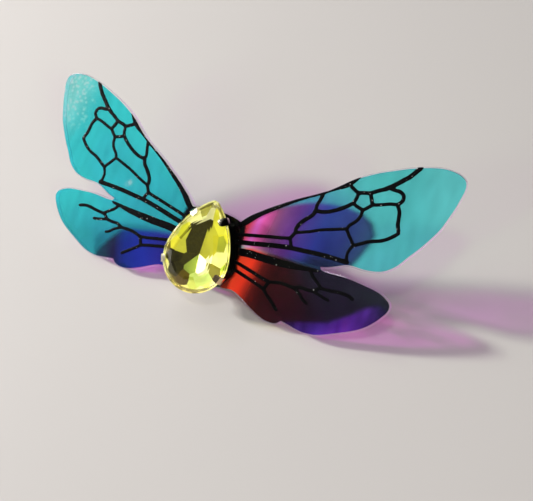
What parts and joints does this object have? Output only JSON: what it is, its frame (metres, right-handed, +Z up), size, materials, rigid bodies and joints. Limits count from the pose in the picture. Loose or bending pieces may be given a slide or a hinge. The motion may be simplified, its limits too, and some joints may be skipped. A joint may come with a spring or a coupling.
{
  "type": "fairy wing brooch",
  "caption": "Brooch in the shape of spread fairy wings: clear colour-shift plate with raised black veins, a pear stone in a claw setting and a bar pin behind.",
  "frame": {"origin": "on the table under the middle of the brooch's bounding box, as it stands leaned back on its two hind lobes and its pin", "axes": "+X along the wing span towards the wearer's left wing in front view, +Y towards the raised forewing tips, +Z up"},
  "size_m": [0.1136, 0.0442, 0.0264],
  "materials": {
    "clear_acrylic": "clear gloss",
    "colour_shift_film": "iridescent gloss",
    "black_enamel": "gloss, slightly pebbled",
    "yellow_crystal": "faceted",
    "foil_coat": "mirror foil",
    "plated_setting": "plated, polished",
    "clear_adhesive": "clear",
    "black_felt": "felt",
    "nickel_steel": "nickel plated",
    "spring_steel": "polished",
    "catch_brass": "satin"
  },
  "bodies": {
    "brooch": {"wing_plate": "clear_acrylic", "iridescent_film": "colour_shift_film", "right_forewing_veins": "black_enamel", "right_hindwing_veins": "black_enamel", "left_forewing_veins": "black_enamel", "left_hindwing_veins": "black_enamel", "pear_stone": "yellow_crystal", "stone_foil": "foil_coat", "claw_setting": "plated_setting", "setting_adhesive": "clear_adhesive", "backing_adhesive": "clear_adhesive", "backing_felt": "black_felt", "pin_adhesive": "clear_adhesive", "pin_bar": "nickel_steel", "hinge_bracket": "nickel_steel", "hinge_pin": "nickel_steel", "catch_bracket": "nickel_steel", "bracket_rivets": "nickel_steel"},
    "stem": {"pin_stem": "spring_steel"},
    "catch": {"catch_rotor": "catch_brass"}
  },
  "joints": [
    {"name": "pin_hinge", "type": "hinge", "parent": "brooch", "child": "stem", "pos_m": [-0.0069, -0.00327, 0.0018], "axis": [0, 0.8599, 0.5105], "range_deg": [0, 95]},
    {"name": "catch_roll", "type": "hinge", "parent": "brooch", "child": "catch", "pos_m": [0.00405, -0.00327, 0.0018], "axis": [1, 0, 0], "range_deg": [0, 95]}
  ]
}
